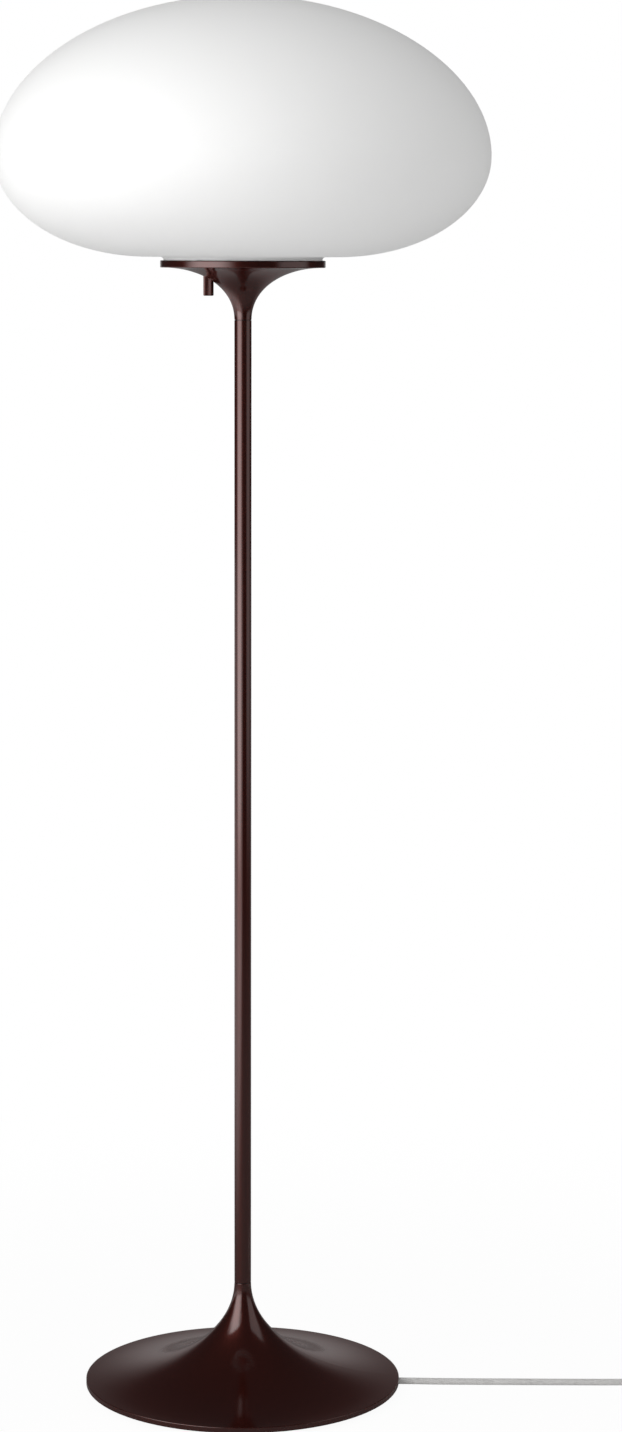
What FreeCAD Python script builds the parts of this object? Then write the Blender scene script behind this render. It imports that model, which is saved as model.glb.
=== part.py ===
import FreeCAD, Part
import math
import os

# Mushroom floor lamp: an opal glass shade on a slender lacquered stem, with a
# trumpet-shaped weighted base and a rotary dimmer under the shade's gallery.
# Millimetres, +Z up. The origin is the centre of the base on the floor.
# The mains cord leaves towards +X, and the dimmer's knob is on the -X side.

Vector = FreeCAD.Vector
UP = Vector(0, 0, 1)
MATCH = 0.01

# ---------------------------------------------------------------- dimensions

# Base
pad_thickness = 4.0
pad_radius = 135.0
rim_radius = 155.0
rim_height = 5.5
base_height = 105.1
base_neck_reach = 46.0
base_rim_reach = 95.0
base_rim_rise = 3.3
base_wall = 2.0
inset_ease = 0.4
rim_rounding = 0.6
neck_web = 21.0
plate_thickness = 2.0
ballast_gap = 0.4
nut_room_radius = 24.0
nut_room_height = 34.0
plate_screw_inset = 75.0
plate_screw_count = 3

# Stem
stem_radius = 8.2
stem_wall = 1.5
stem_length = 944.4
collar_height = 0.6
collar_inset = 0.5
lower_plug_length = 26.0
upper_plug_length = 28.0

# Hollow threaded nipples, nuts and washers
nipple_radius = 5.0
nipple_bore = 3.9
thread_gap = 0.05
nipple_play = 0.15
nipple_reach = 23.0
nipple_past_nut = 1.2
nut_flats = 17.0
nut_height = 5.0
washer_radius = 12.0
washer_thickness = 2.0

# Gallery, which carries the glass
gallery_rise = 49.1
gallery_neck_reach = 30.0
gallery_rim_radius = 77.0
gallery_rim_reach = 38.0
gallery_wall = 2.0
gallery_web = 15.0
ring_radius = 78.6
ring_wall = 2.4
ring_height = 6.7
ring_rounding = 0.8
ledge_rise = 1.0
ledge_width = 8.0
tray_thickness = 1.5
tray_play = 0.4
tray_nut_flats = 14.0
tray_nut_height = 3.0
tray_washer_radius = 11.0
tray_washer_thickness = 1.5
cushion_thickness = 1.0

# Opal glass
shade_radius = 235.0
shade_wall = 3.5
glass_neck_play = 0.6
glass_lift = 3.4
glass_fillet = 3.0
underside_flat = 11.4
underside_reach = 83.0
widest_rise = 94.4
belly_reach = 51.0
shoulder_reach = 79.0
crown_rise = 148.7
crown_reach = 130.0

# Dimmer and knob
knob_offset = 32.8
knob_radius = 4.9
knob_length = 24.1
knob_bottom_drop = 26.6
knob_hole_play = 0.5
knob_chamfer = 0.6
knurl_teeth = 40
knurl_depth = 0.28
knob_cap = 7.3
shaft_radius = 3.0
shaft_play = 0.05
bushing_wall = 0.45
bushing_flange = 6.0
bushing_flange_thickness = 1.0
dimmer_nut_flats = 10.0
dimmer_nut_height = 2.0
dimmer_washer_radius = 5.5
dimmer_washer_thickness = 0.5
bushing_tail = 0.5
case_size = Vector(23.0, 38.0, 14.4)
case_shift = 1.7
case_wall = 1.6
case_floor = 2.0
pocket_radius = 8.0
pocket_depth = 4.7
wiper_radius = 6.5
wiper_thickness = 1.5
wiper_gap = 0.3
board_thickness = 1.2
board_play = 0.3
lid_thickness = 1.6

# Lampholder for a 27 mm screw cap
holder_radius = 19.5
holder_base_height = 18.0
holder_wall = 2.0
holder_spigot = 5.0
holder_floor = 3.0
holder_foot_radius = 10.9
holder_cone_radius = 17.0
holder_cone_rise = 6.0
holder_wall_rise = 11.0
skirt_length = 32.0
insert_flange = 2.5
holder_nut_height = 2.5
shell_wall = 0.45
shell_radius = 13.45
shell_length = 21.6
shell_pitch = 3.6
shell_wave = 0.5
contact_thickness = 0.5
contact_width = 5.0
contact_tail = 7.0
contact_bend = 2.0
contact_tip_start = 3.0
contact_tip_end = 5.0
contact_rise = 3.3
contact_gap = 0.2
terminal_offset = 9.0
terminal_head_radius = 2.6
terminal_head_height = 2.0
terminal_shank_radius = 1.4
terminal_shank_length = 5.0
core_radius = 1.0
core_bend = 2.0
core_spacing = 2.2
core_rise = 10.4
core_play = 0.6
lead_past_nut = 2.5

# Bulb
bulb_radius = 30.0
bulb_length = 108.0
bulb_wall = 1.0
bulb_neck_radius = 11.9
bulb_belly_reach = 26.1
bulb_neck_reach = 16.0
bulb_neck_drop = 1.0
cap_overlap = 8.0
cap_length = 27.0
cap_radius = 13.1
cap_wall = 0.4
cap_wave = 0.5
cap_rise = 6.5
cap_foot_radius = 10.5
cap_lip = 3.0
cap_lip_taper = 1.5
tip_height = 1.6
tip_crown = 1.0
tip_radius = 4.5
insulator_foot_radius = 5.2
insulator_radius = 11.5
insulator_rim = 1.0
filament_count = 4
filament_radius = 0.9
filament_length = 36.0
filament_gap = 0.1
filament_stem_radius = 3.0
filament_stem_flare = 12.0
filament_rise = 24.0

# Cord, with its strain relief, clamp and plug
cord_radius = 3.2
channel_height = 10.4
channel_play = 0.8
relief_start = 46.0
relief_length = 30.0
relief_root_radius = 5.2
relief_tip_radius = 4.0
relief_flange_radius = 6.0
relief_flange_thickness = 3.0
slot_play = 1.0
pad_slot_start = 96.0
clamp_position = 33.0
clamp_width = 9.0
clamp_length = 24.0
clamp_thickness = 1.2
clamp_screw_spacing = 16.0
lead_bend = 20.0
arc_share = 0.45
coil_gap = 0.5
coil_layers = 2
coil_turns = 7.25
coil_climb_turns = 0.5
coil_middle_radius = 38.4
coil_centre_x = 446.0
coil_side = 2.0
plug_relief_length = 26.0
plug_relief_radius = 5.6
plug_relief_wall = 0.6
plug_relief_ribs = 5
plug_groove_depth = 0.7
plug_width = 35.2
plug_back_width = 18.0
plug_thickness = 13.8
plug_length = 35.0
plug_shoulder_length = 15.8
plug_nose_length = 3.5
plug_nose_inset = 1.2
plug_rounding = 2.0
pin_radius = 2.0
pin_length = 19.0
pin_spacing = 19.0
sleeve_length = 10.0
sleeve_wall = 0.3
sleeve_inset = 0.15

# Small countersunk screws
plate_screw_radius = 2.0
plate_screw_length = 10.0
clamp_screw_radius = 1.25
clamp_screw_length = 8.0
head_ratio = 1.9
drive_ratio = 0.5

# ------------------------------------------------------------ worked-out levels

rim_bottom = pad_thickness
rim_top = rim_bottom + rim_height
plate_top = rim_bottom + plate_thickness
plate_screw_circle = rim_radius - plate_screw_inset
web_bottom = base_height - neck_web
stem_bottom = base_height + collar_height
stem_top = stem_bottom + stem_length
gallery_bottom = stem_top + collar_height
ring_bottom = gallery_bottom + gallery_rise
ring_top = ring_bottom + ring_height
ledge_top = ring_bottom + ledge_rise
tray_top = ledge_top + tray_thickness
glass_bottom = tray_top + cushion_thickness
underside = ring_top + glass_lift
widest = underside + widest_rise
crown = widest + crown_rise
holder_bottom = tray_top + tray_washer_thickness + tray_nut_height
holder_seam = holder_bottom + holder_base_height
insert_top = holder_seam + holder_spigot + insert_flange
bulb_bottom = insert_top + contact_rise + contact_gap
ring_inner = ring_radius - ring_wall
neck_radius = ring_inner - glass_neck_play
tube_inner = stem_radius - stem_wall
collar_radius = stem_radius - collar_inset
nipple_hole = nipple_radius + nipple_play
thread_bore = nipple_radius + thread_gap
knob_bottom = ring_bottom - knob_bottom_drop
knob_top = knob_bottom + knob_length
sleeve_radius = pin_radius - sleeve_inset
coil_pitch = 2 * cord_radius + coil_gap
coil_travel = coil_pitch * coil_turns / (2 * coil_layers)
coil_outer_radius = coil_middle_radius + coil_travel


# --------------------------------------------------------------------- helpers


def bezier(*points):
    """Curve in the XZ plane through (radius, height) control points."""
    curve = Part.BezierCurve()
    curve.setPoles([Vector(r, 0, z) for r, z in points])
    return curve.toShape()


def line(start, end):
    """Straight edge in the XZ plane between two (radius, height) points."""
    return Part.makeLine(Vector(start[0], 0, start[1]), Vector(end[0], 0, end[1]))


def arc(start, middle, end):
    """Arc in the XZ plane through three (radius, height) points."""
    points = [Vector(r, 0, z) for r, z in (start, middle, end)]
    return Part.Arc(*points).toShape()


def revolve(edges):
    """Solid of revolution about Z from a closed chain of XZ edges."""
    face = Part.Face(Part.Wire(Part.sortEdges(edges)[0]))
    return face.revolve(Vector(0, 0, 0), UP, 360)


def turned(points):
    """Solid of revolution from a closed polygon of (radius, height) points."""
    corners = [Vector(r, 0, z) for r, z in points]
    face = Part.Face(Part.makePolygon(corners + corners[:1]))
    return face.revolve(Vector(0, 0, 0), UP, 360)


def disc(radius, bottom, top, x=0.0, y=0.0):
    """Upright cylinder between two heights."""
    return Part.makeCylinder(radius, top - bottom, Vector(x, y, bottom), UP)


def tube(outer, inner, bottom, top, x=0.0, y=0.0):
    """Upright tube between two heights."""
    return disc(outer, bottom, top, x, y).cut(disc(inner, bottom, top, x, y))


def box(low, high):
    """Box between its lowest and highest corners."""
    size = Vector(*high) - Vector(*low)
    return Part.makeBox(size.x, size.y, size.z, Vector(*low))


def hex_nut(flats, bore, bottom, top, x=0.0, y=0.0):
    """Hexagonal nut with chamfered corners and a round bore."""
    corner = flats / math.sqrt(3)
    angles = [math.radians(60 * k) for k in range(7)]
    points = [Vector(x + corner * math.cos(a), y + corner * math.sin(a), bottom) for a in angles]
    prism = Part.Face(Part.makePolygon(points)).extrude(Vector(0, 0, top - bottom))
    chamfer = corner - flats / 2
    middle = (top + bottom) / 2
    height = top - bottom
    cone = Part.makeCone(flats / 2 + height, flats / 2, height, Vector(x, y, middle - height / 2), UP)
    cap = disc(corner, bottom, top - chamfer, x, y).fuse(cone)
    return prism.common(cap).cut(disc(bore, bottom, top, x, y))


def round_edges(shape, radius, circle_radius, height):
    """Fillets the circular edge of one radius at one height."""
    chosen = []
    for edge in shape.Edges:
        curve = edge.Curve
        if isinstance(curve, Part.Circle) and abs(curve.Radius - circle_radius) < MATCH:
            if abs(curve.Center.z - height) < MATCH:
                chosen.append(edge)
    return shape.makeFillet(radius, chosen)


def countersunk_screw(shank, length, head_height, place, direction):
    """Flat-headed screw whose head's face is at place and whose shank runs along direction."""
    head = shank * head_ratio
    body = Part.makeCone(head, shank, head_height, place, direction)
    body = body.fuse(Part.makeCylinder(shank, length, place, direction))
    drive = Part.makeCylinder(shank * drive_ratio, head_height * drive_ratio, place, direction)
    return body.cut(drive)


def screw_hole(shank, length, head_height, place, direction):
    """The room that a flat-headed screw takes, with the thread's clearance."""
    head = shank * head_ratio + thread_gap
    hole = Part.makeCone(head, shank + thread_gap, head_height, place, direction)
    return hole.fuse(Part.makeCylinder(shank + thread_gap, length + thread_gap, place, direction))


def soft_path(points, bend=None):
    """Straight runs joined by tangent arcs. Without a bend, each arc takes its share of both runs."""
    edges = []
    radii = []
    last = points[0]
    for before, corner, after in zip(points, points[1:], points[2:]):
        back = before - corner
        ahead = after - corner
        half_turn = (math.pi - back.getAngle(ahead)) / 2
        reach = arc_share * min(back.Length, ahead.Length)
        if bend:
            reach = min(reach, bend * math.tan(half_turn))
        radius = reach / math.tan(half_turn)
        back.normalize()
        ahead.normalize()
        inward = back + ahead
        inward.normalize()
        start = corner + back * reach
        end = corner + ahead * reach
        middle = corner + inward * (radius / math.cos(half_turn) - radius)
        edges.append(Part.LineSegment(last, start).toShape())
        edges.append(Part.Arc(start, middle, end).toShape())
        radii.append(radius)
        last = end
    edges.append(Part.LineSegment(last, points[-1]).toShape())
    return Part.Wire(edges), radii


def sweep(path, radius):
    """Round tube of one radius along a smooth wire."""
    first = path.OrderedEdges[0]
    start = path.OrderedVertexes[0].Point
    heading = first.tangentAt(first.FirstParameter)
    section = Part.Wire(Part.makeCircle(radius, start, heading))
    return path.makePipeShell([section], True, False)


def report_tube(name, solid, path, radius, radii=()):
    """Prints a tube's length and bends, and its volume against section times length."""
    expected = math.pi * radius**2 * path.Length
    tightest = min(radii) if radii else 0.0
    print("%s: length %.1f, tightest radius %.1f" % (name, path.Length, tightest))
    print("    volume %.1f, section times length %.1f" % (solid.Volume, expected))
    if radii:
        print("    radii " + " ".join("%.1f" % r for r in radii))


def save(name, shape):
    """Writes one node."""
    shape.exportStep("parts/%s.step" % name)


# ------------------------------------------------------------------------ base


def trumpet(inset):
    """Outline of the base from the neck's top to the rim's top, drawn inwards by inset."""
    return bezier(
        (stem_radius - inset, base_height),
        (stem_radius - inset, base_height - base_neck_reach - inset_ease * inset),
        (rim_radius - base_rim_reach - inset_ease * inset, rim_top + base_rim_rise - inset),
        (rim_radius - inset, rim_top - inset),
    )


def trumpet_solid(inset, bottom):
    """Solid under the trumpet outline, down to a flat bottom."""
    outer = rim_radius - inset
    return revolve(
        [
            trumpet(inset),
            line((outer, rim_top - inset), (outer, bottom)),
            line((outer, bottom), (0, bottom)),
            line((0, bottom), (0, base_height)),
            line((0, base_height), (stem_radius - inset, base_height)),
        ]
    )


def cord_channel(start, half_width, bottom, top):
    """Slot along +X with a round roof, from start to beyond the rim."""
    end = rim_radius + rim_height
    slot = box((start, -half_width, bottom), (end, half_width, top - half_width))
    roof = Part.makeCylinder(half_width, end - start, Vector(start, 0, top - half_width), Vector(1, 0, 0))
    return slot.fuse(roof)


def base_cover():
    """Painted trumpet shell with a solid neck and a small notch in the rim for the cord."""
    shell = trumpet_solid(0.0, rim_bottom)
    shell = round_edges(shell, rim_rounding, rim_radius, rim_bottom)
    shell = round_edges(shell, rim_rounding, rim_radius, rim_top)
    shell = round_edges(shell, rim_rounding, stem_radius, base_height)
    hollow = trumpet_solid(base_wall, rim_bottom)
    hollow = hollow.common(disc(rim_radius, rim_bottom, web_bottom))
    notch_half = cord_radius + channel_play
    notch = cord_channel(pad_radius, notch_half, 0.0, 2 * cord_radius + channel_play)
    return shell.cut(hollow).cut(disc(nipple_hole, web_bottom, base_height)).cut(notch)


def base_weight():
    """Cast ballast that fills the cover, with a nut room and the cord's channel underneath."""
    inset = base_wall + ballast_gap
    block = trumpet_solid(inset, plate_top)
    block = block.common(disc(rim_radius, plate_top, web_bottom - ballast_gap))
    block = block.cut(disc(nipple_hole, plate_top, web_bottom))
    block = block.cut(disc(nut_room_radius, plate_top, plate_top + nut_room_height))
    groove_half = cord_radius + channel_play
    block = block.cut(cord_channel(0.0, groove_half, plate_top, channel_height + groove_half))
    relief_room = Part.makeCylinder(
        relief_root_radius + channel_play / 2,
        relief_length + slot_play,
        Vector(relief_start, 0, channel_height),
        Vector(1, 0, 0),
    )
    flange_room = Part.makeCylinder(
        relief_flange_radius + thread_gap,
        relief_flange_thickness + thread_gap,
        Vector(relief_start, 0, channel_height),
        Vector(1, 0, 0),
    )
    side = relief_root_radius + channel_play / 2
    relief_slot = box(
        (relief_start, -side, plate_top),
        (relief_start + relief_length + slot_play, side, channel_height),
    )
    block = block.cut(relief_room).cut(relief_slot).cut(flange_room)
    half = clamp_length / 2 + thread_gap
    clamp_room = box(
        (clamp_position - clamp_width / 2 - thread_gap, -half, plate_top),
        (clamp_position + clamp_width / 2 + thread_gap, half, plate_top + clamp_thickness),
    )
    block = block.cut(clamp_room)
    for place in plate_screw_places():
        block = block.cut(screw_hole(plate_screw_radius, plate_screw_length, plate_thickness, place, UP))
    for place in clamp_screw_places():
        block = block.cut(screw_hole(clamp_screw_radius, clamp_screw_length, clamp_thickness, place, UP))
    return block


def plate_screw_places():
    """Screw places on a circle in the plate's lower face, clear of the cord's slot."""
    step = 2 * math.pi / plate_screw_count
    angles = [step * (k + 0.5) for k in range(plate_screw_count)]
    return [
        Vector(plate_screw_circle * math.cos(a), plate_screw_circle * math.sin(a), rim_bottom)
        for a in angles
    ]


def clamp_screw_places():
    """Screw places in the clamp's lower face, one each side of the cord."""
    half = clamp_screw_spacing / 2
    return [Vector(clamp_position, side * half, plate_top) for side in (-1, 1)]


def base_plate():
    """Steel closing plate under the ballast."""
    plate = disc(rim_radius - base_wall - ballast_gap, rim_bottom, plate_top)
    slot_half = relief_flange_radius + slot_play
    plate = plate.cut(
        box((relief_start - slot_play, -slot_half, rim_bottom), (rim_radius, slot_half, plate_top))
    )
    for place in plate_screw_places():
        plate = plate.cut(screw_hole(plate_screw_radius, plate_screw_length, plate_thickness, place, UP))
    return plate


def base_plate_screws():
    """Countersunk screws that hold the plate to the ballast."""
    screws = [
        countersunk_screw(plate_screw_radius, plate_screw_length, plate_thickness, place, UP)
        for place in plate_screw_places()
    ]
    return Part.makeCompound(screws)


def base_pad():
    """Round pad that the lamp stands on, slotted for the cord."""
    pad = disc(pad_radius, 0.0, pad_thickness)
    slot_half = cord_radius + slot_play
    return pad.cut(box((pad_slot_start, -slot_half, 0.0), (rim_radius, slot_half, pad_thickness)))


def base_nipple():
    """Hollow threaded rod that ties the ballast and cover to the stem."""
    top = stem_bottom + nipple_reach
    bottom = plate_top + nut_room_height - washer_thickness - nut_height - nipple_past_nut
    return tube(nipple_radius, nipple_bore, bottom, top)


def base_washer():
    """Washer against the nut room's roof."""
    top = plate_top + nut_room_height
    return tube(washer_radius, nipple_hole, top - washer_thickness, top)


def base_nut():
    """Nut that pulls the ballast up against the cover."""
    top = plate_top + nut_room_height - washer_thickness
    return hex_nut(nut_flats, thread_bore, top - nut_height, top)


def cord_bushing():
    """Tapered rubber strain relief, flanged into the ballast, that grips the cord."""
    ahead = Vector(1, 0, 0)
    start = Vector(relief_start, 0, channel_height)
    taper_start = Vector(relief_start + relief_flange_thickness, 0, channel_height)
    taper_length = relief_length - relief_flange_thickness
    flange = Part.makeCylinder(relief_flange_radius, relief_flange_thickness, start, ahead)
    taper = Part.makeCone(relief_root_radius, relief_tip_radius, taper_length, taper_start, ahead)
    bore = Part.makeCylinder(cord_radius, relief_length, start, ahead)
    return flange.fuse(taper).cut(bore)


def cord_clamp():
    """Strap under the cord that takes its pull."""
    strap = box(
        (clamp_position - clamp_width / 2, -clamp_length / 2, plate_top),
        (clamp_position + clamp_width / 2, clamp_length / 2, plate_top + clamp_thickness),
    )
    for place in clamp_screw_places():
        strap = strap.cut(screw_hole(clamp_screw_radius, clamp_screw_length, clamp_thickness, place, UP))
    return strap


def cord_clamp_screws():
    """The clamp's two screws."""
    screws = [
        countersunk_screw(clamp_screw_radius, clamp_screw_length, clamp_thickness, place, UP)
        for place in clamp_screw_places()
    ]
    return Part.makeCompound(screws)


# ------------------------------------------------------------------------ stem


def lower_coupling():
    """Threaded plug in the tube's foot, with a fine collar that shows as a seam."""
    plug = disc(tube_inner, stem_bottom, stem_bottom + lower_plug_length)
    collar = disc(collar_radius, base_height, stem_bottom)
    bore = disc(thread_bore, base_height, stem_bottom + lower_plug_length)
    return plug.fuse(collar).cut(bore)


def stem_tube():
    """Lacquered steel tube."""
    return tube(stem_radius, tube_inner, stem_bottom, stem_top)


def upper_coupling():
    """Threaded plug in the tube's head, with the upper seam's collar."""
    plug = disc(tube_inner, stem_top - upper_plug_length, stem_top)
    collar = disc(collar_radius, stem_top, gallery_bottom)
    bore = disc(thread_bore, stem_top - upper_plug_length, gallery_bottom)
    return plug.fuse(collar).cut(bore)


def upper_nipple():
    """Hollow threaded rod from the stem's head through the gallery into the lampholder."""
    top = holder_bottom + holder_floor + holder_nut_height + nipple_past_nut
    return tube(nipple_radius, nipple_bore, stem_top - nipple_reach, top)


# --------------------------------------------------------------------- gallery


def flare_outside():
    """Outer curve of the flare, from the stem to just inside the ring."""
    return bezier(
        (stem_radius, gallery_bottom),
        (stem_radius, gallery_bottom + gallery_neck_reach),
        (gallery_rim_radius - gallery_rim_reach, ring_bottom),
        (gallery_rim_radius, ring_bottom),
    )


def flare_hollow():
    """Room inside the flare, from the neck's web to the ledge."""
    inner = stem_radius - gallery_wall
    end = ring_inner - ledge_width
    curve = bezier(
        (inner, gallery_bottom),
        (inner, gallery_bottom + gallery_neck_reach + gallery_wall / 2),
        (end - gallery_rim_reach + gallery_wall * 2, ledge_top),
        (end, ledge_top),
    )
    room = revolve(
        [
            curve,
            line((end, ledge_top), (0, ledge_top)),
            line((0, ledge_top), (0, gallery_bottom)),
            line((0, gallery_bottom), (inner, gallery_bottom)),
        ]
    )
    return room.common(disc(ring_radius, gallery_bottom + gallery_web, ledge_top))


def gallery_body():
    """Lacquered flare and ring in one piece, with a ledge for the tray."""
    body = revolve(
        [
            flare_outside(),
            line((gallery_rim_radius, ring_bottom), (ring_radius, ring_bottom)),
            line((ring_radius, ring_bottom), (ring_radius, ring_top)),
            line((ring_radius, ring_top), (ring_inner, ring_top)),
            line((ring_inner, ring_top), (ring_inner, ledge_top)),
            line((ring_inner, ledge_top), (0, ledge_top)),
            line((0, ledge_top), (0, gallery_bottom)),
            line((0, gallery_bottom), (stem_radius, gallery_bottom)),
        ]
    )
    body = round_edges(body, ring_rounding, ring_radius, ring_top)
    body = round_edges(body, ring_rounding, ring_radius, ring_bottom)
    body = body.cut(flare_hollow())
    body = body.cut(disc(nipple_hole, gallery_bottom, ledge_top))
    knob_hole = disc(knob_radius + knob_hole_play, knob_bottom, ledge_top, -knob_offset)
    return body.cut(knob_hole)


def gallery_tray():
    """Round plate on the gallery's ledge that carries the glass, dimmer and lampholder."""
    tray = disc(ring_inner - tray_play, ledge_top, tray_top)
    tray = tray.cut(disc(nipple_hole, ledge_top, tray_top))
    return tray.cut(disc(bushing_radius() + thread_gap, ledge_top, tray_top, -knob_offset))


def gallery_washer():
    """Washer on the tray."""
    return tube(tray_washer_radius, nipple_hole, tray_top, tray_top + tray_washer_thickness)


def gallery_nut():
    """Nut that clamps the tray and gallery to the stem."""
    bottom = tray_top + tray_washer_thickness
    return hex_nut(tray_nut_flats, thread_bore, bottom, bottom + tray_nut_height)


def glass_cushion():
    """Soft ring between the tray and the glass."""
    return tube(ring_inner - tray_play, neck_radius - shade_wall - tray_play, tray_top, glass_bottom)


# ----------------------------------------------------------------------- shade


def shade_outline(inset):
    """Glass outline from the crown to the neck's foot, drawn inwards by inset."""
    wide = shade_radius - inset
    shrink = wide / shade_radius
    level = underside + inset
    flat_start = neck_radius + glass_fillet
    flat_end = flat_start + underside_flat
    turn = glass_fillet + inset
    slant = turn * math.sqrt(0.5)
    centre = (flat_start, underside - glass_fillet)
    foot = neck_radius - inset
    top_curve = bezier(
        (0, crown - inset),
        (crown_reach * shrink, crown - inset),
        (wide, widest + shoulder_reach * shrink),
        (wide, widest),
    )
    belly = bezier(
        (wide, widest),
        (wide, widest - belly_reach * shrink),
        (flat_end + underside_reach * shrink, level),
        (flat_end, level),
    )
    return [
        top_curve,
        belly,
        line((flat_end, level), (flat_start, level)),
        arc((flat_start, level), (centre[0] - slant, centre[1] + slant), (foot, centre[1])),
        line((foot, centre[1]), (foot, glass_bottom)),
    ]


def shade_glass():
    """Blown opal glass mushroom, open at its neck."""
    outer = shade_outline(0.0)
    inner = shade_outline(shade_wall)
    foot = line((neck_radius, glass_bottom), (neck_radius - shade_wall, glass_bottom))
    axis = line((0, crown), (0, crown - shade_wall))
    return revolve(outer + inner + [foot, axis])


# ---------------------------------------------------------------------- dimmer


def bushing_radius():
    """Outer radius of the dimmer's threaded bushing."""
    return shaft_radius + shaft_play + bushing_wall


def case_corners():
    """Lowest and highest corners of the dimmer's case."""
    middle = -knob_offset - case_shift
    low = (middle - case_size.x / 2, -case_size.y / 2, tray_top)
    high = (middle + case_size.x / 2, case_size.y / 2, tray_top + case_size.z)
    return low, high


def case_room():
    """Lowest and highest corners of the room inside the case, above the board's step."""
    low, high = case_corners()
    step = tray_top + case_floor + pocket_depth
    return (
        (low[0] + case_wall, low[1] + case_wall, step),
        (high[0] - case_wall, high[1] - case_wall, high[2]),
    )


def dimmer_case():
    """Moulded case with a round pocket for the wiper and a step for the board."""
    case = box(*case_corners())
    case = case.cut(box(*case_room()))
    floor = tray_top + case_floor
    case = case.cut(disc(pocket_radius, floor, floor + pocket_depth, -knob_offset))
    return case.cut(disc(bushing_radius() + thread_gap, tray_top, floor, -knob_offset))


def dimmer_board():
    """Circuit board on the case's step."""
    low, high = case_room()
    return box(
        (low[0] + board_play, low[1] + board_play, low[2]),
        (high[0] - board_play, high[1] - board_play, low[2] + board_thickness),
    )


def dimmer_lid():
    """Lid on the case."""
    low, high = case_corners()
    lid = box((low[0], low[1], high[2]), (high[0], high[1], high[2] + lid_thickness))
    upright = [e for e in lid.Edges if abs(e.tangentAt(e.FirstParameter).z) > 1 - MATCH]
    return lid.makeFillet(case_wall, upright)


def bushing_bottom():
    """Lower end of the dimmer's bushing, just under its nut."""
    return ledge_top - dimmer_washer_thickness - dimmer_nut_height - bushing_tail


def dimmer_bushing():
    """Threaded brass bushing that the shaft turns in."""
    floor = tray_top + case_floor
    outer = disc(bushing_radius(), bushing_bottom(), floor, -knob_offset)
    flange = disc(bushing_flange, floor, floor + bushing_flange_thickness, -knob_offset)
    bore = disc(shaft_radius + shaft_play, bushing_bottom(), floor + bushing_flange_thickness, -knob_offset)
    return outer.fuse(flange).cut(bore)


def dimmer_washer():
    """Thin washer under the tray."""
    bottom = ledge_top - dimmer_washer_thickness
    return tube(dimmer_washer_radius, bushing_radius() + thread_gap, bottom, ledge_top, -knob_offset)


def dimmer_nut():
    """Nut that holds the dimmer to the tray."""
    top = ledge_top - dimmer_washer_thickness
    bore = bushing_radius() + thread_gap
    return hex_nut(dimmer_nut_flats, bore, top - dimmer_nut_height, top, -knob_offset)


def dimmer_shaft():
    """Round shaft with the wiper's disc at its top."""
    wiper_bottom = tray_top + case_floor + bushing_flange_thickness + wiper_gap
    shaft = disc(shaft_radius, knob_bottom + knob_cap, wiper_bottom, -knob_offset)
    return shaft.fuse(disc(wiper_radius, wiper_bottom, wiper_bottom + wiper_thickness, -knob_offset))


def knob():
    """Slim straight-knurled knob, bored from above for the shaft."""
    points = []
    for k in range(2 * knurl_teeth):
        angle = math.pi * k / knurl_teeth
        radius = knob_radius - knurl_depth * (k % 2)
        points.append(Vector(radius * math.cos(angle) - knob_offset, radius * math.sin(angle), knob_bottom))
    body = Part.Face(Part.makePolygon(points + points[:1])).extrude(Vector(0, 0, knob_length))
    foot = Part.makeCone(
        knob_radius - knob_chamfer, knob_radius, knob_chamfer, Vector(-knob_offset, 0, knob_bottom), UP
    )
    body = body.common(foot.fuse(disc(knob_radius, knob_bottom + knob_chamfer, knob_top, -knob_offset)))
    return body.cut(disc(shaft_radius, knob_bottom + knob_cap, knob_top, -knob_offset))


# ------------------------------------------------------------------ lampholder


def holder_base():
    """Cup with a threaded hole for the nipple, a spigot for the skirt and a slot for the leads."""
    inner = holder_radius - holder_wall
    spigot_inner = inner - holder_wall
    z = holder_bottom
    cup = turned(
        [
            (thread_bore, z),
            (holder_foot_radius, z),
            (holder_cone_radius, z + holder_cone_rise),
            (holder_radius, z + holder_wall_rise),
            (holder_radius, holder_seam),
            (inner, holder_seam),
            (inner, holder_seam + holder_spigot),
            (spigot_inner, holder_seam + holder_spigot),
            (spigot_inner, z + holder_wall_rise),
            (holder_foot_radius, z + holder_floor),
            (thread_bore, z + holder_floor),
        ]
    )
    side = core_spacing + core_radius + core_play
    rise = core_radius + core_play
    level = core_level()
    slot = box((-holder_radius, -side, level - rise), (-holder_foot_radius, side, level + rise))
    return cup.cut(slot)


def core_level():
    """Height at which the cores cross to the dimmer."""
    return holder_bottom + core_rise


def holder_nut():
    """Thin nut that locks the lampholder on the nipple."""
    bottom = holder_bottom + holder_floor
    return hex_nut(tray_nut_flats, thread_bore, bottom, bottom + holder_nut_height)


def holder_insert():
    """Ceramic block that sits on the spigot and carries the contacts."""
    spigot_inner = holder_radius - 2 * holder_wall
    flange_bottom = holder_seam + holder_spigot
    block = disc(spigot_inner - tray_play, holder_seam, flange_bottom)
    block = block.fuse(disc(holder_radius - holder_wall - tray_play, flange_bottom, insert_top))
    for place in terminal_places():
        block = block.cut(disc(terminal_shank_radius + thread_gap, place.z, insert_top, place.x, place.y))
    return block


def terminal_places():
    """Where the terminal screws' heads meet the insert's underside."""
    return [Vector(side * terminal_offset, 0, holder_seam) for side in (-1, 1)]


def terminal_screws():
    """Screws that hold the cores under the insert."""
    screws = []
    for place in terminal_places():
        head = disc(terminal_head_radius, place.z - terminal_head_height, place.z, place.x, place.y)
        shank = disc(terminal_shank_radius, place.z, place.z + terminal_shank_length, place.x, place.y)
        screws.append(head.fuse(shank))
    return Part.makeCompound(screws)


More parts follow.
